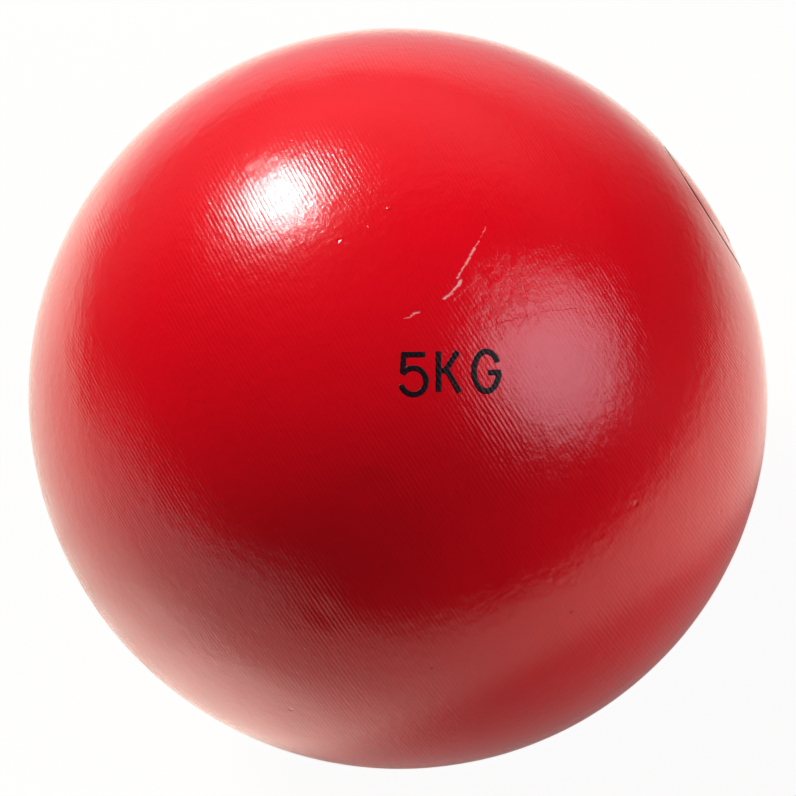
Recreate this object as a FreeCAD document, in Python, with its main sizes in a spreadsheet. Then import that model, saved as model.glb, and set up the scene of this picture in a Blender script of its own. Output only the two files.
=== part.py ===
import FreeCAD, Part
import os
import Sketcher
from FreeCAD import Vector

# A five kilogram throwing ball, turned from cast iron and brought to weight with lead.
# A hole bored in from one end holds the lead, a felt wad lies over it, and a screwed plug
# on a copper washer closes the mouth. Millimetres, origin at the ball's centre, turning
# axis along +X with the plug at its +X end, +Z up.

SIZES = [
    # The turned ball
    ("turned_radius", 54.43, "radius of the arc that the turning tool swung"),
    ("pivot_offset", 0.57, "how far the arc's centre stood off the turning axis"),
    # The plug's seat in the ball
    ("seat_depth", 6.0, "floor of the counterbore, below the end of the ball"),
    ("head_gap", 0.15, "gap all round between the plug's head and the counterbore"),
    ("lip_break", 0.35, "edge broken at the counterbore's mouth"),
    # The tapped hole and the ballast hole
    ("thread_gap", 0.05, "radial clearance between the shank and the tapped hole"),
    ("tapped_depth", 16.0, "tapped hole, below the counterbore's floor"),
    ("entry_chamfer", 0.4, "chamfer where the tapped hole meets the counterbore"),
    ("ballast_depth", 64.5, "drilled hole at full diameter, below the end of the ball"),
    ("drill_point_angle", 118.0, "included angle of the drill's point, in degrees"),
    # The plug
    ("head_overhang", 2.0, "how far the plug's head stands out beyond its thread"),
    ("crown_radius", 47.0, "radius of the plug's domed face"),
    ("crown_drop", 0.05, "top of the dome, below the end of the ball"),
    ("rim_break", 0.15, "edge broken round the dome"),
    ("underhead_break", 0.3, "edge broken round the underside of the head"),
    ("thread_diameter", 18.0, "outside of the plug's thread"),
    ("thread_pitch", 1.5, "the drill for the tap, and so for the lead, is this much smaller"),
    ("shank_length", 14.0, "from the underside of the head to the tip"),
    ("shank_chamfer", 1.0, "lead-in at the tip"),
    ("relief_depth", 1.1, "groove that the thread runs out into"),
    ("relief_width", 2.6, "length of that groove"),
    ("pin_hole_diameter", 3.0, "two blind holes for a pin spanner"),
    ("pin_hole_spacing", 12.0, "between the two holes' centres"),
    ("pin_hole_depth", 2.6, "depth of the holes, below the top of the dome"),
    # The washer
    ("washer_thickness", 1.5, "washer under the plug's head"),
    ("washer_bore_gap", 0.1, "gap all round between the thread and the washer"),
    ("washer_edge_gap", 0.2, "gap all round between the washer and the counterbore"),
    # The wad and the lead
    ("wad_thickness", 4.0, "felt between the plug's tip and the lead"),
    ("wad_edge_gap", 0.05, "gap all round between the wad and its hole"),
    ("wad_rounding", 0.6, "rounding of the wad's edges"),
    ("lead_dish", 0.8, "hollow that the lead's top drew into as it set"),
]

# How far a cutting profile runs on past the surface that it opens into.
OVERRUN = 2.0

doc = FreeCAD.newDocument("throwing_ball")

sheet = doc.addObject("Spreadsheet::Sheet", "sizes")
for row, (alias, value, meaning) in enumerate(SIZES, start=1):
    sheet.set(f"A{row}", meaning)
    sheet.set(f"B{row}", str(value))
    sheet.setAlias(f"B{row}", alias)
doc.recompute()

# Places along the axis and radii that several pieces share, as expressions over the sheet.
TURNED_END = "sizes.turned_radius"
SEAT = f"({TURNED_END} - sizes.seat_depth)"
THREAD_RADIUS = "(sizes.thread_diameter / 2)"
HEAD_RADIUS = f"({THREAD_RADIUS} + sizes.head_overhang)"
SEAT_RADIUS = f"({HEAD_RADIUS} + sizes.head_gap)"
LIP_RADIUS = f"({SEAT_RADIUS} + sizes.lip_break)"
LIP = f"sqrt(sizes.turned_radius ^ 2 - ({LIP_RADIUS} - sizes.pivot_offset) ^ 2)"
TAPPED_RADIUS = f"({THREAD_RADIUS} + sizes.thread_gap)"
TAPPED_END = f"({SEAT} - sizes.tapped_depth)"
BALLAST_RADIUS = f"({THREAD_RADIUS} - sizes.thread_pitch / 2)"
BALLAST_END = f"({TURNED_END} - sizes.ballast_depth)"
DRILL_TIP = f"({BALLAST_END} - {BALLAST_RADIUS} / tan(sizes.drill_point_angle * 0.5 * 1deg))"
HEAD_UNDERSIDE = f"({SEAT} + sizes.washer_thickness)"
SHANK_TIP = f"({HEAD_UNDERSIDE} - sizes.shank_length)"
CROWN_TOP = f"({TURNED_END} - sizes.crown_drop)"
LEAD_TOP = f"({SHANK_TIP} - sizes.wad_thickness)"


def number(expression):
    """What an expression over the sheet comes to now."""
    value = sheet.evalExpression(expression)
    return float(getattr(value, "Value", value))


def new_body(label):
    """An empty body, whose label names the piece and its file."""
    body = doc.addObject("PartDesign::Body", label)
    body.Label = label
    return body


def plane_sketch(body, name, role, offset=None):
    """A sketch on one of the body's own origin planes, moved along its normal if asked."""
    plane = next(p for p in body.Origin.OriginFeatures if p.Role == role)
    sketch = body.newObject("Sketcher::SketchObject", name)
    sketch.AttachmentSupport = (plane, "")
    sketch.MapMode = "FlatFace"
    if offset is not None:
        sketch.setExpression("AttachmentOffset.Base.z", offset)
    doc.recompute()
    return sketch


def bind(sketch, constraint, name, expression):
    """Adds a dimension to the sketch and ties it to an expression."""
    index = sketch.addConstraint(constraint)
    sketch.renameConstraint(index, name)
    sketch.setExpression(f"Constraints.{name}", expression)


def draw_outline(sketch, corners, arcs=None):
    """A closed outline through corners, each an (along, out) pair of expressions.

    arcs maps a corner's number to the radius of the arc that runs from it to the next corner,
    bulging to the left of the way between them, or to the right where the radius has a minus.
    """
    arcs = arcs or {}
    points = [Vector(number(along), number(out), 0) for along, out in corners]
    count = len(points)
    reversed_arcs = set()
    for i, start in enumerate(points):
        end = points[(i + 1) % count]
        if i not in arcs:
            sketch.addGeometry(Part.LineSegment(start, end), False)
            continue
        bulge = number(arcs[i])
        chord = end - start
        left = Vector(-chord.y, chord.x, 0).normalize()
        rise = abs(bulge) - (bulge ** 2 - (chord.Length / 2) ** 2) ** 0.5
        middle = (start + end) * 0.5 + left * (rise if bulge > 0 else -rise)
        sketch.addGeometry(Part.Arc(start, middle, end), False)
        ends_swapped = sketch.getPoint(i, 1).distanceToPoint(start) > 1e-6
        if ends_swapped:
            reversed_arcs.add(i)
    for i in range(count):
        this_end = 1 if i in reversed_arcs else 2
        following = (i + 1) % count
        next_start = 2 if following in reversed_arcs else 1
        sketch.addConstraint(Sketcher.Constraint("Coincident", i, this_end, following, next_start))
    for i, (along, out) in enumerate(corners):
        vertex = 2 if i in reversed_arcs else 1
        x, y = points[i].x, points[i].y
        bind(sketch, Sketcher.Constraint("DistanceX", -1, 1, i, vertex, x), f"along_{i}", along)
        if abs(y) < 1e-9:
            sketch.addConstraint(Sketcher.Constraint("PointOnObject", i, vertex, -1))
        else:
            bind(sketch, Sketcher.Constraint("DistanceY", -1, 1, i, vertex, y), f"out_{i}", out)
    for i, radius in arcs.items():
        size = abs(number(radius))
        bind(sketch, Sketcher.Constraint("Radius", i, size), f"radius_{i}", f"abs({radius})")


def spin(body, kind, name, sketch):
    """A full turn of the sketch about the turning axis, as a Revolution or a Groove."""
    feature = body.newObject(f"PartDesign::{kind}", name)
    feature.Profile = sketch
    feature.ReferenceAxis = (sketch, ["H_Axis"])
    feature.Angle = 360
    sketch.Visibility = False
    doc.recompute()
    return feature


def cut_checked(body, before):
    """Stops the build where the last cut took nothing off the body."""
    after = body.Shape.Volume
    if after >= before - 1e-3:
        raise RuntimeError(f"{body.Label}: {body.Tip.Name} cut nothing")
    return after


def circle(sketch, index, radius, name):
    """A circle about the sketch's origin."""
    sketch.addGeometry(Part.Circle(Vector(0, 0, 0), Vector(0, 0, 1), number(radius)), False)
    sketch.addConstraint(Sketcher.Constraint("Coincident", index, 3, -1, 1))
    bind(sketch, Sketcher.Constraint("Radius", index, number(radius)), name, radius)


def pad(body, name, sketch, length):
    """The sketch drawn out along its normal."""
    feature = body.newObject("PartDesign::Pad", name)
    feature.Profile = sketch
    feature.setExpression("Length", length)
    sketch.Visibility = False
    doc.recompute()
    return feature


# Ball body
# The turning tool swung half a turn about a point just off the axis, so the ball comes out a
# little short from end to end, with a spot as wide as that offset left flat at its end.
ball = new_body("ball_body")
swing = plane_sketch(ball, "ball_profile", "XY_Plane")
turned_radius = number("sizes.turned_radius")
pivot_offset = number("sizes.pivot_offset")
plug_end = Vector(turned_radius, pivot_offset, 0)
far_end = Vector(-turned_radius, pivot_offset, 0)
top = Vector(0, pivot_offset + turned_radius, 0)
swing.addGeometry(Part.Arc(plug_end, top, far_end), False)
swing.addGeometry(Part.LineSegment(far_end, Vector(-turned_radius, 0, 0)), False)
swing.addGeometry(Part.LineSegment(Vector(-turned_radius, 0, 0), Vector(turned_radius, 0, 0)), False)
swing.addGeometry(Part.LineSegment(Vector(turned_radius, 0, 0), plug_end), False)
for side, side_end, following, start in ((0, 2, 1, 1), (1, 2, 2, 1), (2, 2, 3, 1), (3, 2, 0, 1)):
    swing.addConstraint(Sketcher.Constraint("Coincident", side, side_end, following, start))
swing.addConstraint(Sketcher.Constraint("Vertical", 1))
swing.addConstraint(Sketcher.Constraint("Vertical", 3))
swing.addConstraint(Sketcher.Constraint("PointOnObject", 2, 1, -1))
swing.addConstraint(Sketcher.Constraint("PointOnObject", 2, 2, -1))
swing.addConstraint(Sketcher.Constraint("PointOnObject", 0, 3, -2))
swing.addConstraint(Sketcher.Constraint("Horizontal", 0, 1, 0, 3))
swing.addConstraint(Sketcher.Constraint("Horizontal", 0, 2, 0, 3))
bind(
    swing,
    Sketcher.Constraint("DistanceY", -1, 1, 0, 3, pivot_offset),
    "pivot",
    "sizes.pivot_offset",
)
bind(swing, Sketcher.Constraint("Radius", 0, turned_radius), "swing", "sizes.turned_radius")
spin(ball, "Revolution", "turned_ball", swing)
left_in_ball = ball.Shape.Volume

# The counterbore that the plug's head sits in, with its mouth's edge broken.
seat_cut = plane_sketch(ball, "seat_profile", "XY_Plane")
draw_outline(
    seat_cut,
    [
        (SEAT, "0"),
        (SEAT, SEAT_RADIUS),
        (f"{LIP} - sizes.lip_break", SEAT_RADIUS),
        (f"{LIP} + {OVERRUN}", f"{LIP_RADIUS} + {OVERRUN}"),
        (f"{LIP} + {OVERRUN}", "0"),
    ],
)
spin(ball, "Groove", "plug_seat", seat_cut)
left_in_ball = cut_checked(ball, left_in_ball)

# The tapped hole, to the outside of its thread.
tapped_cut = plane_sketch(ball, "tapped_profile", "XY_Plane")
draw_outline(
    tapped_cut,
    [
        (TAPPED_END, "0"),
        (TAPPED_END, TAPPED_RADIUS),
        (f"{SEAT} - sizes.entry_chamfer", TAPPED_RADIUS),
        (SEAT, f"{TAPPED_RADIUS} + sizes.entry_chamfer"),
        (f"{SEAT} + {OVERRUN}", f"{TAPPED_RADIUS} + sizes.entry_chamfer"),
        (f"{SEAT} + {OVERRUN}", "0"),
    ],
)
spin(ball, "Groove", "tapped_hole", tapped_cut)
left_in_ball = cut_checked(ball, left_in_ball)

# The drilled hole for the lead, with the cone that the drill's point leaves.
ballast_cut = plane_sketch(ball, "ballast_profile", "XY_Plane")
draw_outline(
    ballast_cut,
    [
        (DRILL_TIP, "0"),
        (BALLAST_END, BALLAST_RADIUS),
        (f"{TAPPED_END} + {OVERRUN}", BALLAST_RADIUS),
        (f"{TAPPED_END} + {OVERRUN}", "0"),
    ],
)
spin(ball, "Groove", "ballast_hole", ballast_cut)
left_in_ball = cut_checked(ball, left_in_ball)

# Lead core
# Poured in to the drill's point, with a dished top.
lead = new_body("lead_core")
lead_profile = plane_sketch(lead, "lead_profile", "XY_Plane")
draw_outline(
    lead_profile,
    [
        (DRILL_TIP, "0"),
        (BALLAST_END, BALLAST_RADIUS),
        (LEAD_TOP, BALLAST_RADIUS),
        (f"{LEAD_TOP} - sizes.lead_dish", "0"),
    ],
    arcs={2: f"0 - ({BALLAST_RADIUS} ^ 2 + sizes.lead_dish ^ 2) / (2 * sizes.lead_dish)"},
)
spin(lead, "Revolution", "poured_lead", lead_profile)

# Packing wad
# A felt disc between the lead and the tip of the plug.
wad = new_body("packing_wad")
wad_outline = plane_sketch(wad, "wad_outline", "YZ_Plane", LEAD_TOP)
circle(wad_outline, 0, f"{BALLAST_RADIUS} - sizes.wad_edge_gap", "wad_edge")
wad_disc = pad(wad, "wad_disc", wad_outline, "sizes.wad_thickness")
rims = [f"Edge{n}" for n, e in enumerate(wad.Shape.Edges, 1) if isinstance(e.Curve, Part.Circle)]
soft_edges = wad.newObject("PartDesign::Fillet", "wad_edges")
soft_edges.Base = (wad_disc, rims)
soft_edges.setExpression("Radius", "sizes.wad_rounding")
doc.recompute()

# Sealing washer
# A flat copper ring on the counterbore's floor, which the plug's head presses.
washer = new_body("sealing_washer")
washer_outline = plane_sketch(washer, "washer_outline", "YZ_Plane", SEAT)
circle(washer_outline, 0, f"{THREAD_RADIUS} + sizes.washer_bore_gap", "washer_bore")
circle(washer_outline, 1, f"{SEAT_RADIUS} - sizes.washer_edge_gap", "washer_edge")
pad(washer, "washer_ring", washer_outline, "sizes.washer_thickness")

# Closing plug
# A domed head over a screwed shank, with a groove under the head for the thread to run out.
plug = new_body("closing_plug")
RELIEF_RADIUS = f"({THREAD_RADIUS} - sizes.relief_depth)"
CROWN_EDGE_RADIUS = f"({HEAD_RADIUS} - sizes.rim_break)"
CROWN_SAG = f"(sizes.crown_radius - sqrt(sizes.crown_radius ^ 2 - {CROWN_EDGE_RADIUS} ^ 2))"
CROWN_EDGE = f"({CROWN_TOP} - {CROWN_SAG})"
plug_profile = plane_sketch(plug, "plug_profile", "XY_Plane")
draw_outline(
    plug_profile,
    [
        (SHANK_TIP, "0"),
        (SHANK_TIP, f"{THREAD_RADIUS} - sizes.shank_chamfer"),
        (f"{SHANK_TIP} + sizes.shank_chamfer", THREAD_RADIUS),
        (f"{HEAD_UNDERSIDE} - sizes.relief_width", THREAD_RADIUS),
        (f"{HEAD_UNDERSIDE} - sizes.relief_width", RELIEF_RADIUS),
        (HEAD_UNDERSIDE, RELIEF_RADIUS),
        (HEAD_UNDERSIDE, f"{HEAD_RADIUS} - sizes.underhead_break"),
        (f"{HEAD_UNDERSIDE} + sizes.underhead_break", HEAD_RADIUS),
        (f"{CROWN_EDGE} - sizes.rim_break", HEAD_RADIUS),
        (CROWN_EDGE, CROWN_EDGE_RADIUS),
        (CROWN_TOP, "0"),
    ],
    arcs={9: "sizes.crown_radius"},
)
spin(plug, "Revolution", "plug_blank", plug_profile)
left_in_plug = plug.Shape.Volume

# Two blind holes for a pin spanner, side by side across the dome.
pin_hole_sketch = plane_sketch(plug, "pin_hole_sketch", "YZ_Plane", CROWN_TOP)
pin_radius = number("sizes.pin_hole_diameter / 2")
pin_place = number("sizes.pin_hole_spacing / 2")
pin_hole_sketch.addGeometry(
    Part.Circle(Vector(pin_place, 0, 0), Vector(0, 0, 1), pin_radius), False
)
pin_hole_sketch.addConstraint(Sketcher.Constraint("PointOnObject", 0, 3, -1))
bind(
    pin_hole_sketch,
    Sketcher.Constraint("DistanceX", -1, 1, 0, 3, pin_place),
    "pin_place",
    "sizes.pin_hole_spacing / 2",
)
bind(
    pin_hole_sketch,
    Sketcher.Constraint("Diameter", 0, 2 * pin_radius),
    "pin_bore",
    "sizes.pin_hole_diameter",
)
pin_hole = plug.newObject("PartDesign::Pocket", "pin_hole")
pin_hole.Profile = pin_hole_sketch
pin_hole.setExpression("Length", "sizes.pin_hole_depth")
pin_hole_sketch.Visibility = False
doc.recompute()
left_in_plug = cut_checked(plug, left_in_plug)
pin_holes = plug.newObject("PartDesign::PolarPattern", "pin_holes")
pin_holes.Originals = [pin_hole]
pin_holes.Axis = (pin_hole_sketch, ["N_Axis"])
pin_holes.Angle = 360
pin_holes.Occurrences = 2
plug.Tip = pin_holes
doc.recompute()
left_in_plug = cut_checked(plug, left_in_plug)

# Files
# Every feature has to be sound before any piece is written.
for item in doc.Objects:
    if "Invalid" in item.State or "Error" in item.State:
        raise RuntimeError(f"{item.Name} failed: {item.State}")
pieces = [ball, lead, wad, washer, plug]
for piece in pieces:
    if piece.Shape.isNull() or not piece.Shape.isValid() or len(piece.Shape.Solids) != 1:
        raise RuntimeError(f"{piece.Label} is not one sound solid")

os.makedirs("parts", exist_ok=True)
for piece in pieces:
    piece.Shape.exportStep(f"parts/{piece.Label}.step")
    print(piece.Label, round(piece.Shape.Volume, 2), "cubic mm")
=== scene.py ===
import math

import bpy
import numpy as np
from mathutils import Matrix, Vector


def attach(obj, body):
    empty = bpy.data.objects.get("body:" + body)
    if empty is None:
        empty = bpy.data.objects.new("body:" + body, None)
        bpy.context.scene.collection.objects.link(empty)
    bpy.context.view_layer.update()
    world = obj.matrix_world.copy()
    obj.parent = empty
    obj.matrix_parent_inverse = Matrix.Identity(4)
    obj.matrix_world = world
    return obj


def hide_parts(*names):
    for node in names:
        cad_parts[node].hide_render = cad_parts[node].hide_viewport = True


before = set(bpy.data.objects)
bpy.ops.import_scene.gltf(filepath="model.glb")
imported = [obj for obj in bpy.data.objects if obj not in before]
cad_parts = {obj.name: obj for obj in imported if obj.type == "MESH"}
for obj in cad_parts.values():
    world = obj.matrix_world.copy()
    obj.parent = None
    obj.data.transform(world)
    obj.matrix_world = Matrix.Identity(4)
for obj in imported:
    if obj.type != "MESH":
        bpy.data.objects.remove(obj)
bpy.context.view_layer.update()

# The ball body is cast iron, turned all over with a tool that swings round the ball's middle, so a fine
# spiral of tool marks runs round the turning axis, X. One end is bored for the lead and tapped for the plug.
# It is dipped in thick red enamel, which softens the marks but doesn't fill them.
MM = 0.001
SWING = 54.43 * MM              # radius of the tool's swing
SWING_OFFSET = 0.57 * MM        # how far the swing's centre lies from the axis
LIP_RADIUS = 11.5 * MM          # edge of the plug's seat
LIP_DROP = 0.32 * MM            # the edge is broken with a file
LIP_FILED = 0.7 * MM
SEAT_FLOOR = 48.43 * MM
ENAMELLED_RINGS = 7             # the enamel reaches over these rings of the seat's wall
THREAD_PITCH = 1.5 * MM
TAPPED_CREST = 8.27 * MM        # inner thread, from the axis
TAPPED_ROOT = 9.12 * MM
TAPPED_END = 32.43 * MM
BORE_RADIUS = 8.25 * MM
BORE_END = -10.07 * MM
BORE_MIDDLE = 10 * MM
BORE_TIP = -15.03 * MM          # point of the drill that made the lead's hole
DRILL_POINT_RADIUS = 0.33 * MM
MARK_FEED = 0.606 * MM          # from one tool mark to the next, along the surface
MARK_HEIGHT = 0.018 * MM
WAVE_HEIGHT = 0.009 * MM
WORN_FLAT = (-38.24 * MM, -24.26 * MM, 30.92 * MM)      # where the ball has landed hard
WORN_FLAT_REACH = 9 * MM
WORN_FLAT_DEPTH = 0.10 * MM
ROWS_PER_MARK = 3
BALL_COLUMNS = 106
BORE_ROWS_PER_TURN = 8


def ripple(points, lengths, seed):
    """A soft uneven field of about -1 to 1: plane waves in seeded directions, one for each wavelength."""
    draw = np.random.default_rng(seed)
    field = np.zeros(points.shape[:-1])
    for length in lengths:
        way = draw.normal(size=3)
        way *= 2 * math.pi / (length * np.linalg.norm(way))
        field += np.sin(points @ way + draw.uniform(0, 2 * math.pi))
    return field / math.sqrt(len(lengths) / 2)


def around(x, r, columns):
    """Points of circles about X: entry i, j is at x[i], r[i] from the axis, turned j steps from Y to Z."""
    turn = np.linspace(0, 2 * math.pi, columns, endpoint=False)
    y, z = r * np.cos(turn), r * np.sin(turn)
    return np.stack([np.broadcast_to(x, y.shape), y, z], axis=-1)


def thread(x, columns, root, crest):
    """Radius along a right-hand thread: a clipped triangle wave of x over pitch, less the part of a turn."""
    part = np.arange(columns) / columns
    phase = (x[:, None] / THREAD_PITCH - part[None, :]) % 1
    rise = np.clip(1.7 * (1 - np.abs(4 * phase - 2)), -1, 1)
    return (root + crest) / 2 + (crest - root) / 2 * rise


def closed_mesh(name, grid, start, end):
    """A shell of quads between neighbouring rings of the grid, closed at each end by a fan to a point."""
    rows, columns = grid.shape[:2]
    points = np.vstack([grid.reshape(-1, 3), start, end])
    i, j = np.meshgrid(np.arange(rows - 1), np.arange(columns), indexing="ij")
    k = (j + 1) % columns
    quads = [i * columns + j, (i + 1) * columns + j, (i + 1) * columns + k, i * columns + k]
    quads = np.stack(quads, axis=-1).reshape(-1, 4)
    j, k = j[0], k[0]
    last = (rows - 1) * columns
    first_fan = np.stack([np.full(columns, rows * columns), j, k], axis=-1)
    last_fan = np.stack([last + j, np.full(columns, rows * columns + 1), last + k], axis=-1)
    mesh = bpy.data.meshes.new(name)
    mesh.from_pydata(points, [], quads.tolist() + first_fan.tolist() + last_fan.tolist())
    mesh.polygons.foreach_set("use_smooth", np.ones(len(mesh.polygons), dtype=bool))
    mesh.update()
    piece = bpy.data.objects.new(name, mesh)
    bpy.context.collection.objects.link(piece)
    return piece


def tool_marks(points, along):
    """Height of the turned surface: a cosine across each turn of the spiral mark, which swells and fades in
    patches, on slow waves, less a bowl (1 - (d/reach)^2)^2 where the worn flat is."""
    part = np.arctan2(points[..., 2], points[..., 1]) / (2 * math.pi)
    phase = along / MARK_FEED - part + 0.12 * ripple(points, (9 * MM, 14 * MM, 23 * MM), 3)
    patches = 1 + 0.35 * ripple(points, (8 * MM, 13 * MM, 21 * MM, 34 * MM), 5)
    uneven = 1 + 0.3 * np.sin(phase * 1.9) * np.sin(phase * 0.73)
    waves = WAVE_HEIGHT * ripple(points, (7 * MM, 9 * MM, 12 * MM, 16 * MM, 22 * MM), 8)
    from_flat = np.linalg.norm(points - WORN_FLAT, axis=-1) / WORN_FLAT_REACH
    bowl = WORN_FLAT_DEPTH * np.clip(1 - from_flat**2, 0, 1)**2
    return MARK_HEIGHT * patches * uneven * np.cos(2 * math.pi * phase) + waves - bowl


lip_angle = math.asin((LIP_RADIUS - SWING_OFFSET) / SWING)
marks = round((math.pi - lip_angle) * SWING / MARK_FEED)
swing = np.linspace(lip_angle, math.pi, marks * ROWS_PER_MARK + 1)[:, None]
shell = around(SWING * np.cos(swing), SWING_OFFSET + SWING * np.sin(swing), BALL_COLUMNS)
outward = around(np.cos(swing), np.sin(swing), BALL_COLUMNS)
height = tool_marks(shell, swing * SWING)
lip_fade = np.clip((swing - lip_angle) * SWING / LIP_FILED, 0, 1)
outside = shell + outward * (height * lip_fade)[..., None]
outside[..., 0] -= LIP_DROP * (1 - lip_fade)**2

turns = (SEAT_FLOOR - 0.9 * MM - TAPPED_END) / THREAD_PITCH
tapped_x = np.linspace(TAPPED_END + 0.5 * MM, SEAT_FLOOR - 0.45 * MM, round(turns * BORE_ROWS_PER_TURN))
tapped_r = thread(tapped_x, BALL_COLUMNS, TAPPED_ROOT, TAPPED_CREST)
mouth = TAPPED_ROOT - (SEAT_FLOOR - 0.4 * MM - tapped_x)[:, None] * 0.9
tapped_r = np.maximum(tapped_r, mouth)
bore_x = np.array([
    BORE_TIP + 0.2 * MM, BORE_END, BORE_END + 0.4 * MM, BORE_MIDDLE, TAPPED_END - 0.4 * MM, TAPPED_END,
])
bore_r = np.array([DRILL_POINT_RADIUS] + [BORE_RADIUS] * 5)
# The seat's outlines start at its floor, and the wall's at the mouth that the file has broken.
seat_x = np.array([0, 0, 0, 0.25, 0.45]) * MM + SEAT_FLOOR
seat_r = np.array([9.45, 9.9, 11.0, 11.15, 11.15]) * MM
wall_x = np.array([-2.2, -0.55, -0.35, -0.16, -0.05]) * MM + SWING * math.cos(lip_angle) - LIP_DROP
wall_r = np.array([11.15, 11.15, 11.17, 11.27, 11.4]) * MM
inside = np.concatenate([
    around(bore_x[:, None], bore_r[:, None], BALL_COLUMNS),
    around(tapped_x[:, None], tapped_r, BALL_COLUMNS),
    around(np.append(seat_x, wall_x)[:, None], np.append(seat_r, wall_r)[:, None], BALL_COLUMNS),
])
ball = closed_mesh("turned_ball", np.concatenate([inside, outside]), (BORE_TIP, 0, 0), (-SWING, 0, 0))


def wiring(tree):
    """The function that adds a node to a tree with its settings, and sets or links its inputs."""

    def node(kind, inputs=(), **settings):
        made = tree.nodes.new(kind)
        for key, value in settings.items():
            setattr(made, key, value)
        for socket, value in dict(inputs).items():
            if isinstance(value, bpy.types.NodeSocket):
                tree.links.new(value, made.inputs[socket])
            else:
                made.inputs[socket].default_value = value
        return made

    return node


def new_material(name):
    """A node material with its Principled shader, its tree and the wiring function of the tree."""
    material = bpy.data.materials.new(name)
    material.use_nodes = True
    tree = material.node_tree
    return material, tree.nodes["Principled BSDF"], tree, wiring(tree)


ENAMEL_RED = (0.81, 0.0010, 0.010, 1)
THIN_RED = (0.73, 0.0009, 0.008, 1)
SCUFFED_PINK = (0.86, 0.42, 0.40, 1)
# the colour of dirt and painted shade in the plug's seam
SEAM_DIRT_AND_SHADE = (0.012, 0.006, 0.006, 1)
SEAM_MIDDLE = 11.15 * MM
SEAM_HALF = 0.45 * MM
SEAM_REACH = 0.75 * MM
GLOSS = 0.035
RUBBED_GLOSS = 0.30
GRAIN_SIZE = 0.20 * MM
GRAIN_HEIGHT = 0.026 * MM
PEEL_SIZE = 1.7 * MM
PEEL_HEIGHT = 0.06 * MM
PEBBLE_SIZE = 0.55 * MM
PEBBLE_HEIGHT = 0.022 * MM
NIB_SPACING = 3.2 * MM          # dust under the enamel: one nib to a few cells of this size
NIB_REACH = 0.2 * MM
NIB_HEIGHT = 0.03 * MM
# Pimples and pits in the enamel, in millimetres: place on the ball, radius and height. Two are dents.
BLEMISHES = [
    ((15.88, -2.19, 52.58), 0.42, 0.09),
    ((7.72, -3.28, 54.35), 0.48, -0.08),
    ((14.74, 10.33, 51.95), 0.42, 0.06),
    ((-5.55, 13.99, 52.90), 0.35, 0.05),
    ((12.26, -3.45, 53.49), 0.30, 0.05),
    ((22.99, -45.56, 20.37), 0.65, -0.09),
    ((6.97, -52.21, 15.82), 0.45, -0.09),
    ((32.04, -44.55, 1.48), 0.50, -0.09),
    ((-13.75, -49.69, 19.10), 0.40, -0.08),
    ((-34.95, -40.37, 12.63), 0.50, -0.09),
    ((-6.72, -33.33, 43.22), 4.0, -0.09),
    ((-21.94, -39.59, 31.16), 3.4, -0.12),
]
# Scratches in millimetres: both ends, the half width and how much the enamel is whitened.
SCRATCHES = [
    ((26.07, -10.01, 47.30), (23.09, -12.50, 48.27), 0.07, 0.5),
    ((23.09, -12.50, 48.27), (20.90, -14.19, 48.81), 0.17, 0.9),
    ((20.90, -14.19, 48.81), (19.03, -15.48, 49.19), 0.12, 0.8),
    ((19.28, -16.06, 48.90), (18.01, -16.76, 49.15), 0.18, 1.0),
    ((18.01, -16.76, 49.15), (16.01, -17.43, 49.62), 0.12, 0.8),
    ((15.90, -17.38, 49.67), (17.42, -17.29, 49.19), 0.07, 0.6),
    ((12.05, -17.58, 50.69), (10.95, -17.65, 50.92), 0.14, 0.9),
    ((10.95, -17.65, 50.92), (9.92, -17.59, 51.15), 0.08, 0.7),
    ((16.61, -22.99, 47.09), (20.76, -23.02, 45.38), 0.08, 0.0),
    ((20.76, -23.02, 45.38), (27.07, -23.37, 41.68), 0.08, 0.0),
    ((27.07, -23.37, 41.68), (30.77, -23.89, 38.69), 0.06, 0.0),
    ((26.26, -19.15, 44.29), (25.60, -21.47, 43.60), 0.08, 0.0),
    ((21.70, -16.58, 47.68), (16.91, -18.15, 49.06), 0.06, 0.2),
    ((29.76, -17.00, 42.90), (26.71, -17.62, 44.65), 0.06, 0.0),
]
SCRATCH_DEPTH = 0.03 * MM
SCUFFED_PLACE = (24.0 * MM, -19.6 * MM, 45.4 * MM)
SCUFFED_CORE = 2 * MM
SCUFFED_REACH = 8.5 * MM
CREASE_SIZE = 2.4 * MM
CREASE_DEPTH = 0.02 * MM
FRAY_SCALE = 1400.0             # the edges of pits and scratches are frayed by this noise
FRAY_REACH = 0.6 * MM
BASE_ROUGHER = 0.30             # the pigment under the clear gloss is rougher by this
PIGMENT_SHINE = 0.08

enamel, shader, tree, node = new_material("red_enamel")
place = node("ShaderNodeTexCoord").outputs["Object"]


def fading(value, full, gone):
    """1 where a value is on the full side of two limits, falling softly to 0 at the other."""
    ends = {"Value": value, "From Min": full, "From Max": gone, "To Min": 1.0, "To Max": 0.0}
    return node("ShaderNodeMapRange", ends, interpolation_type="SMOOTHSTEP").outputs[0]


def maths(operation, *values):
    """The result of one step of arithmetic on node outputs and numbers."""
    return node("ShaderNodeMath", dict(enumerate(values)), operation=operation).outputs[0]


def vectors(operation, *values):
    """The vector that one step makes from others."""
    return node("ShaderNodeVectorMath", dict(enumerate(values)), operation=operation).outputs[0]


def scaled(vector, factor):
    """A vector made longer or shorter."""
    return node("ShaderNodeVectorMath", {0: vector, "Scale": factor}, operation="SCALE").outputs[0]


def measured(operation, *values):
    """The number that one step makes from vectors, such as a distance."""
    return node("ShaderNodeVectorMath", dict(enumerate(values)), operation=operation).outputs["Value"]


def plus(*values):
    """The sum of node outputs and numbers, added one after the other."""
    done = values[0]
    for value in values[1:]:
        done = maths("ADD", done, value)
    return done


def times(*values):
    """The product of node outputs and numbers."""
    done = values[0]
    for value in values[1:]:
        done = maths("MULTIPLY", done, value)
    return done


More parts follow.
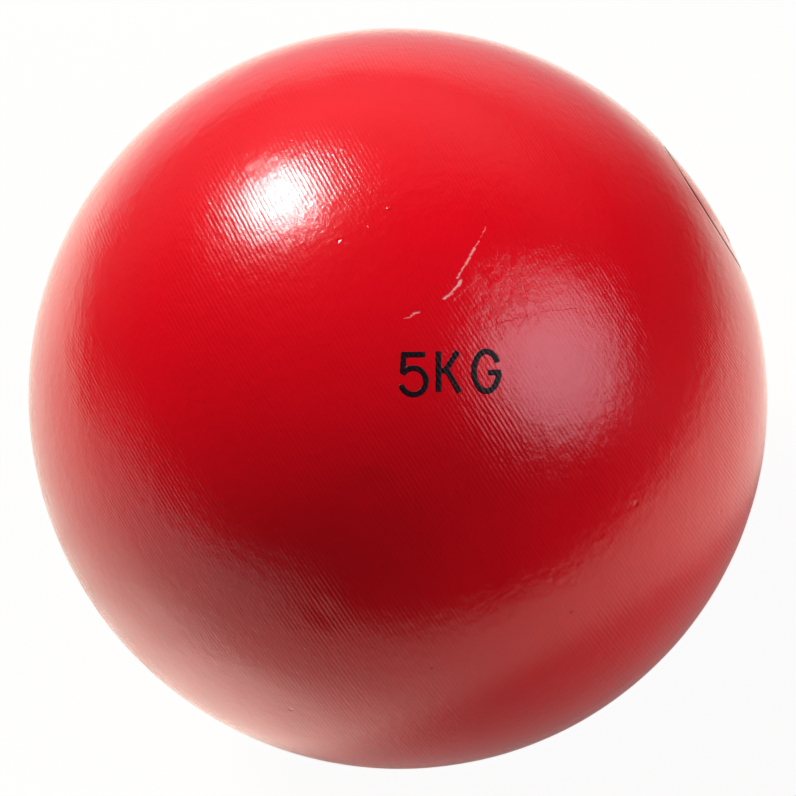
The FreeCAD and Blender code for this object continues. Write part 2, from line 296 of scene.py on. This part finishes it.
def noise(size, detail=2.0, points=None):
    """Soft noise between 0 and 1 whose cells have the given size."""
    settings = {"Vector": points or place, "Scale": 1 / size, "Detail": detail}
    return node("ShaderNodeTexNoise", settings).outputs[0]


def blend(part, first, second):
    """One colour turning into another."""
    settings = {0: part, 6: first, 7: second}
    return node("ShaderNodeMix", settings, data_type="RGBA", clamp_factor=True).outputs[2]


def off_line(points, start, end):
    """Distance from a straight line: the way from its start, less the part of it that lies along the line."""
    along = [b - a for a, b in zip(start, end)]
    length = math.dist(start, end)
    from_start = vectors("SUBTRACT", points, start)
    part = measured("DOT_PRODUCT", from_start, [a / length**2 for a in along])
    part = node("ShaderNodeClamp", {"Value": part}).outputs[0]
    return measured("DISTANCE", from_start, scaled(along, part))


def finish_surface(colour, roughness, height):
    """Join colour, roughness and a height in metres to the present shader."""
    relief = node("ShaderNodeBump", {"Strength": 1.0, "Distance": 1.0, "Height": height}).outputs[0]
    for socket, value in (("Base Color", colour), ("Roughness", roughness), ("Normal", relief)):
        tree.links.new(value, shader.inputs[socket])
    return relief


stray = node("ShaderNodeTexNoise", {"Vector": place, "Scale": FRAY_SCALE, "Detail": 2.0}).outputs["Color"]
frayed = vectors("ADD", place, scaled(vectors("SUBTRACT", stray, (0.5, 0.5, 0.5)), FRAY_REACH))
scuffed = fading(measured("DISTANCE", frayed, SCUFFED_PLACE), SCUFFED_CORE, SCUFFED_REACH)
rubbed = times(scuffed, fading(noise(1.1 * MM, 4.0), 0.58, 0.42))
grain_strength = plus(times(noise(6 * MM), 0.9), times(rubbed, 0.7), 0.5)
heights = [
    times(noise(GRAIN_SIZE), grain_strength, GRAIN_HEIGHT),
    times(noise(PEBBLE_SIZE, 1.0), grain_strength, PEBBLE_HEIGHT),
    times(noise(PEEL_SIZE, 1.0), PEEL_HEIGHT),
]
crease = maths("ABSOLUTE", plus(noise(CREASE_SIZE, 3.0, frayed), -0.5))
heights.append(times(fading(crease, 0.0, 0.022), scuffed, -CREASE_DEPTH))
cells = node("ShaderNodeTexVoronoi", {"Vector": place, "Scale": 1 / NIB_SPACING})
chance = node("ShaderNodeSeparateColor", {0: cells.outputs["Color"]})
has_nib = fading(chance.outputs["Red"], 0.30, 0.25)
nib_rise = times(plus(chance.outputs["Green"], -0.4), 2 * NIB_HEIGHT)
heights.append(times(fading(cells.outputs["Distance"], 0.0, NIB_REACH / NIB_SPACING), has_nib, nib_rise))
for spot, reach, rise in BLEMISHES:
    away = measured("DISTANCE", frayed, tuple(v * MM for v in spot))
    heights.append(times(fading(away, 0.0, reach * MM), rise * MM))
whitened = []
for start, end, half, pale in SCRATCHES:
    away = off_line(frayed, [v * MM for v in start], [v * MM for v in end])
    groove = fading(away, 0.0, 1.7 * half * MM)
    heights.append(times(groove, -SCRATCH_DEPTH))
    if pale:
        whitened.append(times(groove, pale))
# A dark band round the plug's seam: dirt, and painted shade of the gap between plug and ball. It also dulls
# the gloss there.
from_axis = measured("LENGTH", vectors("MULTIPLY", frayed, (0.0, 1.0, 1.0)))
off_seam = maths("ABSOLUTE", plus(from_axis, -SEAM_MIDDLE))
at_end = fading(node("ShaderNodeSeparateXYZ", {0: place}).outputs["X"], 47 * MM, 46 * MM)
seam_dirt_and_shade = times(fading(off_seam, SEAM_HALF, SEAM_REACH), at_end)
red = blend(noise(9 * MM), ENAMEL_RED, THIN_RED)
red = blend(plus(*whitened), red, SCUFFED_PINK)
red = blend(seam_dirt_and_shade, red, SEAM_DIRT_AND_SHADE)
gloss = plus(times(rubbed, RUBBED_GLOSS), times(seam_dirt_and_shade, 0.5), GLOSS)
relief = finish_surface(red, plus(gloss, BASE_ROUGHER), plus(*heights))
shader.inputs["Specular IOR Level"].default_value = PIGMENT_SHINE
shader.inputs["IOR"].default_value = 1.5
tree.links.new(fading(seam_dirt_and_shade, 0.0, 0.7), shader.inputs["Coat Weight"])
shader.inputs["Coat IOR"].default_value = 1.5
tree.links.new(gloss, shader.inputs["Coat Roughness"])
tree.links.new(relief, shader.inputs["Coat Normal"])

# In the bore the iron is bare: dark, with rings from the boring tool and a bloom of rust.
IRON_GREY = (0.25, 0.245, 0.24, 1)
RUST_BROWN = (0.16, 0.055, 0.022, 1)
RUST_SIZE = 2.2 * MM
BORING_RINGS = 380.0
BORING_HEIGHT = 0.006 * MM
iron, shader, tree, node = new_material("bored_iron")
place = node("ShaderNodeTexCoord").outputs["Object"]
rust = fading(noise(RUST_SIZE, 5.0), 0.62, 0.50)


def rings(scale, distortion):
    """Rings about X that a cutting tool leaves, between 0 and 1."""
    settings = {"Vector": place, "Scale": scale, "Distortion": distortion}
    return node("ShaderNodeTexWave", settings, bands_direction="X").outputs[1]


iron_roughness = plus(times(rust, 0.35), times(noise(1 * MM), 0.2), 0.25)
bored = times(rings(BORING_RINGS, 1.5), BORING_HEIGHT)
finish_surface(blend(times(rust, 0.7), IRON_GREY, RUST_BROWN), iron_roughness, bored)
shader.inputs["Metallic"].default_value = 0.9
ball.data.materials.append(enamel)
ball.data.materials.append(iron)
faces = np.zeros(len(ball.data.polygons), dtype=np.int32)
faces[:(len(inside) - ENAMELLED_RINGS) * BALL_COLUMNS] = 1
faces[-2 * BALL_COLUMNS:-BALL_COLUMNS] = 1
ball.data.polygons.foreach_set("material_index", faces)
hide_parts("ball_body")
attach(ball, "ball")

# The closing plug is a short steel screw with a flat head, turned domed with the ball once it was tight.
# Its head and crown are enamelled with the ball. Two blind holes in the crown take a pin spanner.
HEAD_RADIUS = 11.0 * MM
HEAD_UNDERSIDE = 49.93 * MM
CROWN_TOP = 54.38 * MM
CROWN_RADIUS = 54.0 * MM
CROWN_SKIM = 0.004 * MM
RIM_BREAK = 0.15 * MM
UNDERHEAD_BREAK = 0.3 * MM
SHANK_TIP = 35.93 * MM
SHANK_ROOT = 8.12 * MM
SHANK_CREST = 8.96 * MM
RELIEF_RADIUS = 7.9 * MM
RELIEF_FACE = 47.33 * MM
PIN_HOLE_RADIUS = 1.5 * MM
PIN_HOLE_FROM_AXIS = 6.0 * MM
PIN_HOLE_DEPTH = 2.6 * MM
PLUG_COLUMNS = 120
PLUG_ROWS_PER_TURN = 16
BARE_BELOW = HEAD_UNDERSIDE + 1.6 * MM
STEEL_GREY = (0.44, 0.43, 0.42, 1)
OILY_BROWN = (0.22, 0.20, 0.17, 1)
OIL_SIZE = 1.6 * MM
CUTTING_RINGS = 900.0
CUT_HEIGHT = 0.002 * MM

crown_edge = HEAD_RADIUS - RIM_BREAK
crown_r = np.linspace(0.05 * MM, crown_edge, round(4 * crown_edge / MARK_FEED))[:, None]
crown_x = CROWN_TOP - CROWN_RADIUS + np.sqrt(CROWN_RADIUS**2 - crown_r**2)
crown = around(crown_x, crown_r, PLUG_COLUMNS)
edge_fade = np.clip(crown_r / MARK_FEED, 0, 1) * np.clip((crown_edge - crown_r) / (0.3 * MM), 0, 1)
crown[..., 0] += edge_fade * tool_marks(crown, crown_r) - CROWN_SKIM
rim_turn = np.linspace(0.2, 1, 4) * math.pi / 2
rim_x = crown_x[-1] - RIM_BREAK * (1 - np.cos(rim_turn))
rim = np.stack([rim_x, crown_edge + RIM_BREAK * np.sin(rim_turn)], axis=-1)
head = np.array([
    (HEAD_UNDERSIDE + 2.2 * MM, HEAD_RADIUS), (HEAD_UNDERSIDE + 0.4 * MM, HEAD_RADIUS),
    (HEAD_UNDERSIDE + UNDERHEAD_BREAK, HEAD_RADIUS), (HEAD_UNDERSIDE, HEAD_RADIUS - UNDERHEAD_BREAK),
    (HEAD_UNDERSIDE, HEAD_RADIUS - 0.5 * MM), (HEAD_UNDERSIDE, RELIEF_RADIUS + 0.25 * MM),
    (HEAD_UNDERSIDE - 0.25 * MM, RELIEF_RADIUS), (RELIEF_FACE + 0.1 * MM, RELIEF_RADIUS),
])
turns = (RELIEF_FACE - SHANK_TIP) / THREAD_PITCH
shank_x = np.linspace(RELIEF_FACE, SHANK_TIP, round(turns * PLUG_ROWS_PER_TURN))
shank_r = thread(shank_x, PLUG_COLUMNS, SHANK_ROOT, SHANK_CREST)
shank_r = np.minimum(shank_r, SHANK_CREST - 1.0 * MM + (shank_x - SHANK_TIP)[:, None])
shank_r = np.minimum(shank_r, RELIEF_RADIUS + 0.8 * (RELIEF_FACE - shank_x)[:, None])
tip = np.array([(SHANK_TIP, 7.6 * MM), (SHANK_TIP, 4 * MM), (SHANK_TIP, 0.4 * MM)])
collar = np.concatenate([rim, head])
plug = closed_mesh("screw_plug", np.concatenate([
    crown,
    around(collar[:, :1], collar[:, 1:], PLUG_COLUMNS),
    around(shank_x[:, None], shank_r, PLUG_COLUMNS),
    around(tip[:, :1], tip[:, 1:], PLUG_COLUMNS),
]), (CROWN_TOP - CROWN_SKIM, 0, 0), (SHANK_TIP, 0, 0))


def drill(name, y):
    """A drill's shape along X: two circles and a point at its lower end, to be cut out of the crown."""
    x = np.array([CROWN_TOP + 1 * MM, CROWN_TOP - PIN_HOLE_DEPTH])
    bit = around(x[:, None], np.full((2, 1), PIN_HOLE_RADIUS), 40)
    bit[..., 1] += y
    return closed_mesh(name, bit, (x[0], y, 0), (x[1] - 0.4 * MM, y, 0))


for y in (PIN_HOLE_FROM_AXIS, -PIN_HOLE_FROM_AXIS):
    bit = drill("bit", y)
    cut = plug.modifiers.new("pin_hole", "BOOLEAN")
    cut.operation = "DIFFERENCE"
    cut.solver = "EXACT"
    cut.object = bit
    drilled = bpy.data.meshes.new_from_object(plug.evaluated_get(bpy.context.evaluated_depsgraph_get()))
    plug.modifiers.remove(cut)
    plug.data = drilled
    bpy.data.objects.remove(bit)

steel, shader, tree, node = new_material("cut_steel")
place = node("ShaderNodeTexCoord").outputs["Object"]
oiled = fading(noise(OIL_SIZE, 3.0), 0.6, 0.4)
steel_roughness = plus(times(oiled, 0.2), times(noise(0.5 * MM), 0.15), 0.18)
cuts = times(rings(CUTTING_RINGS, 0.6), CUT_HEIGHT)
finish_surface(blend(times(oiled, 0.6), STEEL_GREY, OILY_BROWN), steel_roughness, cuts)
shader.inputs["Metallic"].default_value = 1.0
plug.data.materials.append(enamel)
plug.data.materials.append(steel)
middle = np.empty(len(plug.data.polygons) * 3)
plug.data.polygons.foreach_get("center", middle)
bare = (middle[::3] < BARE_BELOW).astype(np.int32)
plug.data.polygons.foreach_set("material_index", bare)
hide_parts("closing_plug")
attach(plug, "plug")

# The sealing washer is a flat copper ring under the plug's head, stamped from annealed sheet, so it is brown
# in clouds where it was heated. The CAD ring is kept and gets only its surface here.
COPPER_PINK = (0.78, 0.36, 0.20, 1)
HEATED_BROWN = (0.42, 0.14, 0.075, 1)
CLOUD_SIZE = 1.8 * MM
SHEET_GRAIN = 0.012 * MM
copper, shader, tree, node = new_material("copper_ring")
place = node("ShaderNodeTexCoord").outputs["Object"]
heated = fading(noise(CLOUD_SIZE, 4.0), 0.62, 0.40)
sheet_grain = times(noise(0.3 * MM), SHEET_GRAIN)
finish_surface(blend(heated, COPPER_PINK, HEATED_BROWN), plus(times(heated, 0.25), 0.22), sheet_grain)
shader.inputs["Metallic"].default_value = 1.0


def surface_on_cad(name, material):
    """Put a material on a carried-over CAD piece by its object's slots."""
    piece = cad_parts[name]
    if not piece.data.materials:
        piece.data.materials.append(None)
    for slot in piece.material_slots:
        slot.link = "OBJECT"
        slot.material = material


surface_on_cad("sealing_washer", copper)

# The lead core was poured into the bore and shrank to a dished top. Cast lead is dull blue grey, with pale
# bloom and slow wrinkles from the pour. The CAD solid is kept and gets only its surface here.
LEAD_GREY = (0.17, 0.18, 0.20, 1)
BLOOM_GREY = (0.36, 0.37, 0.38, 1)
BLOOM_SIZE = 3 * MM
WRINKLE_SIZE = 2.5 * MM
WRINKLE_HEIGHT = 0.10 * MM
FINE_WRINKLE_HEIGHT = 0.02 * MM
lead, shader, tree, node = new_material("poured_lead")
place = node("ShaderNodeTexCoord").outputs["Object"]
bloom = fading(noise(BLOOM_SIZE, 5.0), 0.62, 0.42)
wrinkles = plus(times(noise(WRINKLE_SIZE, 1.0), WRINKLE_HEIGHT), times(noise(0.5 * MM), FINE_WRINKLE_HEIGHT))
finish_surface(blend(bloom, LEAD_GREY, BLOOM_GREY), plus(times(bloom, 0.3), 0.38), wrinkles)
shader.inputs["Metallic"].default_value = 0.85
surface_on_cad("lead_core", lead)

# The packing wad is a punched disc of grey wool felt, pressed onto the lead by the plug's tip.
# Its edge is rounded by the punch and its whole surface is a little uneven.
WAD_RADIUS = 8.15 * MM
WAD_BOTTOM = 31.97 * MM
WAD_TOP = 35.88 * MM
WAD_ROUNDING = 0.7 * MM
WAD_COLUMNS = 150
FACE_ROWS = 46
EDGE_ROWS = 14
DARK_WOOL = (0.14, 0.135, 0.13, 1)
PALE_WOOL = (0.46, 0.44, 0.41, 1)
HAIR_SCALE = 2600.0
HAIR_HEIGHT = 0.25 * MM
TUFT_HEIGHT = 0.2 * MM
face_r = np.linspace(0.1 * MM, WAD_RADIUS - WAD_ROUNDING, FACE_ROWS)
bend = np.linspace(0.1, 1, 6) * math.pi / 2
bend_x = WAD_ROUNDING * (1 - np.cos(bend))
bend_r = WAD_RADIUS - WAD_ROUNDING * (1 - np.sin(bend))
edge_x = np.linspace(WAD_TOP - WAD_ROUNDING, WAD_BOTTOM + WAD_ROUNDING, EDGE_ROWS + 2)[1:-1]
wad_x = np.concatenate([
    np.full(FACE_ROWS, WAD_TOP), WAD_TOP - bend_x,
    edge_x,
    WAD_BOTTOM + bend_x[::-1], np.full(FACE_ROWS, WAD_BOTTOM),
])
wad_r = np.concatenate([face_r, bend_r, np.full(EDGE_ROWS, WAD_RADIUS), bend_r[::-1], face_r[::-1]])
felt_points = around(wad_x[:, None], wad_r[:, None], WAD_COLUMNS)
pull = ripple(felt_points, (0.7 * MM, 0.9 * MM, 1.3 * MM, 1.7 * MM, 2.6 * MM, 4.1 * MM), 12)
felt_middle = np.array([(WAD_TOP + WAD_BOTTOM) / 2, 0, 0])
felt_points = felt_middle + (felt_points - felt_middle) * (1 - 0.006 * (1 + pull[..., None]))
wad = closed_mesh("felt_wad", felt_points, (WAD_TOP - 0.02 * MM, 0, 0), (WAD_BOTTOM + 0.02 * MM, 0, 0))

felt, shader, tree, node = new_material("wool_felt")
place = node("ShaderNodeTexCoord").outputs["Object"]
hairs = {"Vector": place, "Scale": HAIR_SCALE, "Detail": 4.0, "Distortion": 2.5}
tangle = node("ShaderNodeTexNoise", hairs).outputs[0]
felt_colour = blend(noise(1.2 * MM, 4.0), DARK_WOOL, PALE_WOOL)
felt_height = plus(times(tangle, HAIR_HEIGHT), times(noise(0.8 * MM), TUFT_HEIGHT))
finish_surface(felt_colour, plus(times(tangle, 0.1), 0.88), felt_height)
shader.inputs["Sheen Weight"].default_value = 0.4
wad.data.materials.append(felt)
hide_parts("packing_wad")
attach(wad, "ball")

# The weight is stamped on the enamel in black ink with a flat rubber stamp, as a 5 and the letters of the
# unit in plain strokes. The ink is a thin film that lies on the enamel and follows its tool marks.
STAMP_ACROSS = np.array((0.8448, -0.4438, -0.2988))
STAMP_UP = np.array((0.5315, 0.7600, 0.3741))
STAMP_CENTRE = (7.25 * MM, 3.71 * MM)
STROKE_WIDTH = 0.80 * MM
INK_HEIGHT = 0.02 * MM
INK_STEP = 0.1 * MM
INK_BLACK = (0.004, 0.003, 0.006, 1)
INK_OVER_RED = (0.16, 0.004, 0.012, 1)
THIN_INK_SIZE = 0.35 * MM
INK_SHINE = 0.25


def on_ball(across, up):
    """Points of the turned surface under the stamp: each is moved along the stamp's press until it meets the
    swung arc, in four Newton steps."""
    press = np.cross(STAMP_ACROSS, STAMP_UP)
    flat = across[..., None] * STAMP_ACROSS + up[..., None] * STAMP_UP
    depth = np.sqrt(SWING**2 - across**2 - up**2)
    for _ in range(4):
        points = flat + depth[..., None] * press
        ring = np.hypot(points[..., 1], points[..., 2])
        miss = points[..., 0]**2 + (ring - SWING_OFFSET)**2 - SWING**2
        pull_back = (1 - SWING_OFFSET / ring)[..., None] * points * (0, 1, 1) + points * (1, 0, 0)
        depth = depth - miss / (2 * pull_back @ press)
    return flat + depth[..., None] * press


def line(*ends):
    """Points along a straight stroke, in millimetres on the stamp."""
    ends = np.array(ends, dtype=float)
    count = max(3, round(np.linalg.norm(ends[1] - ends[0]) * MM / INK_STEP))
    return ends[0] + (ends[1] - ends[0]) * np.linspace(0, 1, count)[:, None]


def bow(centre, radii, start, end):
    """Points along part of an oval, from one angle to another in degrees, counterclockwise from the right."""
    count = round(max(radii) * abs(math.radians(end - start)) * MM / INK_STEP)
    angle = np.radians(np.linspace(start, end, count))
    return np.array(centre) + np.stack([radii[0] * np.cos(angle), radii[1] * np.sin(angle)], axis=-1)


def stroke(name, path):
    """A film of ink along a path: a ring of points round the stroke's section at each step, a little wider
    and narrower by turns, pressed onto the ball and closed at both ends."""
    ahead = np.gradient(path, axis=0)
    ahead /= np.linalg.norm(ahead, axis=1)[:, None]
    aside = np.stack([-ahead[:, 1], ahead[:, 0]], axis=-1)
    across = np.array([1, 0.8, 0.4, 0, -0.4, -0.8, -1, -0.5, 0.5]) * STROKE_WIDTH / 2
    lift = np.array([0, 1, 1, 1, 1, 1, 0, -1, -1]) * INK_HEIGHT
    spread_out = ripple(np.column_stack([path, path[:, 0]]) * MM, (0.5 * MM, 0.8 * MM, 1.4 * MM), 21)
    bleed = (1 + 0.04 * spread_out)[:, None, None]
    spots = path[:, None] * MM + bleed * across[None, :, None] * aside[:, None] + np.array(STAMP_CENTRE)
    points = on_ball(spots[..., 0], spots[..., 1])
    ring = np.hypot(points[..., 1], points[..., 2])
    swing = np.arctan2(ring - SWING_OFFSET, points[..., 0])
    unit = points / np.linalg.norm(points, axis=-1)[..., None]
    points = points + unit * (lift + tool_marks(points, swing * SWING))[..., None]
    return closed_mesh(name, points, points[0].mean(axis=0), points[-1].mean(axis=0))


strokes = {
    "five_bar": line((-3.5, 2.35), (-6.75, 2.35)),
    "five_stem": line((-6.43, 2.6), (-6.62, -0.3)),
    "five_bowl": bow((-5.13, -1.35), (1.75, 1.83), 148, -165),
    "k_stem": line((-1.66, 2.8), (-1.66, -2.8)),
    "k_arm": line((0.97, 2.8), (-0.6, 0.3)),
    "k_link": line((-1.7, 0.12), (-0.35, 0.12)),
    "k_leg": line((-0.55, 0.3), (1.26, -2.9)),
    "g_oval": bow((4.97, 0.05), (1.73, 2.75), 27, 356),
    "g_bar": line((7.0, -0.12), (5.2, -0.12)),
}
ink, shader, tree, node = new_material("black_ink")
place = node("ShaderNodeTexCoord").outputs["Object"]
thin = fading(noise(THIN_INK_SIZE, 3.0), 0.66, 0.60)
ink_colour = blend(times(thin, 0.5), INK_BLACK, INK_OVER_RED)
finish_surface(ink_colour, plus(times(noise(0.5 * MM), 0.3), 0.25), times(noise(GRAIN_SIZE), INK_HEIGHT))
shader.inputs["Specular IOR Level"].default_value = INK_SHINE
for name, path in strokes.items():
    film = stroke("ink_" + name, path)
    film.data.materials.append(ink)
    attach(film, "ball")

# The stage is a wide pale floor at the ball's lowest point. Its colour holds a painted pool of light as far
# as a curved edge beside the ball, with painted dimness beyond. Reflections see a painted glow over the pool,
# withheld in a painted shadow oval. The camera sees it as white paper that keeps a little of the shadow.
FLOOR_LEVEL = -55 * MM
FLOOR_HALF = 3.0
EDGE_OUT = 0.13                 # where the painted pool of light reaches farthest to the right, and how its edge bends
EDGE_OUT_Y = -0.095
EDGE_BEND = 1.78
EDGE_SOFT = (-0.032, 0.036)
PAINTED_LIT_TONE = (0.82, 0.79, 0.68, 1)
PAINTED_DIM_DARK = (0.03, 0.03, 0.03, 1)
PAINTED_DIM_GREY = (0.42, 0.42, 0.42, 1)
GREY_WAY = (0.087, 0.996, 0)    # beyond the painted pool's edge the painted dimness is grey behind the ball, and dark in front of it
# The painted shadow oval on the floor, and the painted glow that reflections see there.
SHADOW_TURN = math.radians(-9)
SHADOW_AHEAD = 0.055
SHADOW_SIZE = (0.057, 0.078, 1)
GLOW_COLOUR = (1.0, 0.86, 0.74, 1)
GLOW = 0.20
GLOW_FAR_LEFT = 0.42
PAPER_WHITE = 0.95
paper_mesh = bpy.data.meshes.new("floor")
corners = [(x * FLOOR_HALF, y * FLOOR_HALF, FLOOR_LEVEL) for x, y in ((-1, -1), (1, -1), (1, 1), (-1, 1))]
paper_mesh.from_pydata(corners, [], [(0, 1, 2, 3)])
floor = bpy.data.objects.new("floor", paper_mesh)
bpy.context.collection.objects.link(floor)
paper, shader, tree, node = new_material("white_paper")
place = node("ShaderNodeTexCoord").outputs["Object"]
ways = node("ShaderNodeSeparateXYZ", {0: place}).outputs
bulge = maths("POWER", plus(ways["Y"], -EDGE_OUT_Y), 2.0)
steeper_in_front = plus(maths("MAXIMUM", plus(times(ways["Y"], -5), -1.0), 0.0), 1)
past_edge = maths("DIVIDE", plus(ways["X"], times(bulge, EDGE_BEND), -EDGE_OUT), steeper_in_front)
painted_lit_pool = fading(past_edge, *EDGE_SOFT)
heading = vectors("NORMALIZE", vectors("MULTIPLY", place, (1.0, 1.0, 0.0)))
backward = measured("DOT_PRODUCT", heading, GREY_WAY)
painted_dim_tone = blend(fading(backward, 0.95, 0.25), PAINTED_DIM_DARK, PAINTED_DIM_GREY)
# Painted light and shade: the floor's colour is pale in the painted pool of light and dim beyond it.
tree.links.new(blend(painted_lit_pool, painted_dim_tone, PAINTED_LIT_TONE), shader.inputs["Base Color"])
shader.inputs["Roughness"].default_value = 0.9
# Painted shadow: an oval on the floor where the ball's shadow falls; the painted glow below is withheld
# inside it.
ahead = (math.sin(SHADOW_TURN), -math.cos(SHADOW_TURN))
oval = node("ShaderNodeMapping", {
    "Vector": place,
    "Location": (ahead[0] * SHADOW_AHEAD, ahead[1] * SHADOW_AHEAD, FLOOR_LEVEL),
    "Rotation": (0, 0, SHADOW_TURN),
    "Scale": SHADOW_SIZE,
}, vector_type="TEXTURE").outputs[0]
outside_shadow = fading(measured("LENGTH", oval), 1.07, 0.90)
# Painted light: a warm glow that only reflections see, over the painted pool of light and stronger far to the
# left, added to the paper's own shading.
rays = node("ShaderNodeLightPath").outputs
mirrored = plus(rays["Is Glossy Ray"], rays["Is Transmission Ray"])
glow_level = plus(times(fading(ways["X"], -0.55, -0.20), GLOW_FAR_LEFT), GLOW)
glow_level = times(mirrored, painted_lit_pool, outside_shadow, glow_level)
glow = node("ShaderNodeEmission", {"Color": GLOW_COLOUR, "Strength": glow_level})
paper_and_painted_glow = node("ShaderNodeAddShader", {0: shader.outputs[0], 1: glow.outputs[0]})
white = node("ShaderNodeEmission", {"Color": (1, 1, 1, 1), "Strength": 1.0})
white_part = times(rays["Is Camera Ray"], PAPER_WHITE)
seen = node("ShaderNodeMixShader", {0: white_part, 1: paper_and_painted_glow.outputs[0], 2: white.outputs[0]})
tree.links.new(seen.outputs[0], tree.nodes["Material Output"].inputs["Surface"])
floor.data.materials.append(paper)

# The lamps: a round soft key above and behind the ball, bright in its middle, and a large round panel at the
# right. The rest don't show in the enamel: they add to the key, or stand for light thrown back by the floor.


def direction(azimuth, elevation):
    """Unit vector for an angle in degrees from +Y towards +X, and an angle up."""
    a, e = math.radians(azimuth), math.radians(elevation)
    return Vector((math.sin(a) * math.cos(e), math.cos(a) * math.cos(e), math.sin(e)))


def soft_lamp(name, where, size, brightness, colour=(1, 1, 1), glossy=True, aim=(0, 0, 0), spread=180):
    """A round flat lamp that faces the ball or another point. Its power is brightness times pi times area."""
    data = bpy.data.lights.new(name, "AREA")
    data.shape = "DISK"
    data.size = size
    data.energy = brightness * math.pi * size**2 * math.pi / 4
    data.color = colour
    data.spread = math.radians(spread)
    lamp = bpy.data.objects.new(name, data)
    bpy.context.collection.objects.link(lamp)
    turn = (where - Vector(aim)).to_track_quat("Z", "Y").to_matrix().to_4x4()
    lamp.matrix_world = Matrix.Translation(where) @ turn
    lamp.visible_camera = False
    lamp.visible_glossy = glossy


KEY_WAY = direction(4, 45)
LEFT_FLOOR_NEAR = (-0.125, -0.045, FLOOR_LEVEL)
LEFT_FLOOR_FAR = (-0.32, -0.02, FLOOR_LEVEL)
soft_lamp("key_lamp", KEY_WAY * 0.9, 0.27, 34)
soft_lamp("key_halo", KEY_WAY * 0.88, 0.50, 1.8)
soft_lamp("side_lamp", direction(122, 25) * 0.9, 0.74, 0.76, colour=(1.0, 0.90, 1.05), spread=85)
soft_lamp("key_fill", KEY_WAY * 0.92, 0.36, 5.6, glossy=False)
soft_lamp("bounce_left", direction(-95, -4) * 0.25, 0.07, 8, glossy=False)
soft_lamp("bounce_right", direction(125, -4) * 0.25, 0.07, 5.5, glossy=False)
soft_lamp("left_spot", direction(-108, 20) * 0.2, 0.05, 4.5, glossy=False, aim=LEFT_FLOOR_NEAR, spread=60)
soft_lamp("left_fill", direction(-95, 30) * 0.6, 0.2, 0.8, glossy=False, aim=LEFT_FLOOR_FAR, spread=50)

# The room behind the lamps is dim, with a pale wall at the back that is lighter to the right, and a low pale
# band at the left. The camera sees it white.
WALL = 0.16
LIGHTER_WALL = 0.22
LEFT_BAND = 0.85
DIM_ROOM = 0.035
room = bpy.data.worlds.new("studio")
bpy.context.scene.world = room
room.use_nodes = True
tree = room.node_tree
node = wiring(tree)
outlook = node("ShaderNodeTexCoord").outputs["Object"]


def towards(azimuth, elevation):
    """How nearly a direction in the room is the given one: the cosine between them."""
    return measured("DOT_PRODUCT", outlook, direction(azimuth, elevation))


upward = node("ShaderNodeSeparateXYZ", {0: outlook}).outputs["Z"]
wall = times(fading(towards(20, 0), 0.85, 0.25), fading(upward, 0.20, 0.58), WALL)
lighter_part = times(fading(towards(34, 18), 0.985, 0.80), LIGHTER_WALL)
left_band = times(fading(towards(-94, 0), 0.99, 0.70), fading(upward, 0.06, 0.30), LEFT_BAND)
rays = node("ShaderNodeLightPath").outputs
unseen = maths("SUBTRACT", 1.0, rays["Is Camera Ray"])
level = plus(times(plus(wall, lighter_part, left_band, DIM_ROOM), unseen), rays["Is Camera Ray"])
background = tree.nodes["Background"]
background.inputs["Color"].default_value = (1, 1, 1, 1)
tree.links.new(level, background.inputs["Strength"])

# The camera stands back with a long lens, above the ball and in front of it, and is held so that the stamp's
# sides are level in the picture. The lens and the ball's centre are given in pixels of the square picture.
PICTURE_SIDE = 796
FOCAL_PIXELS = 5183
BALL_IN_PICTURE = (397.965, 398.395)
STAND_OFF = 0.770
FILM_WIDTH = 36
back = np.cross(STAMP_ACROSS, STAMP_UP)
camera_data = bpy.data.cameras.new("camera")
camera_data.sensor_width = FILM_WIDTH
camera_data.lens = FOCAL_PIXELS / PICTURE_SIDE * FILM_WIDTH
camera_data.shift_x = 0.5 - BALL_IN_PICTURE[0] / PICTURE_SIDE
camera_data.shift_y = BALL_IN_PICTURE[1] / PICTURE_SIDE - 0.5
camera = bpy.data.objects.new("camera", camera_data)
bpy.context.collection.objects.link(camera)
stand = np.eye(4)
stand[:3, :] = np.stack([STAMP_ACROSS, STAMP_UP, back, back * STAND_OFF], axis=-1)
camera.matrix_world = Matrix(stand.tolist())
bpy.context.scene.camera = camera
bpy.context.scene.view_settings.view_transform = "Standard"
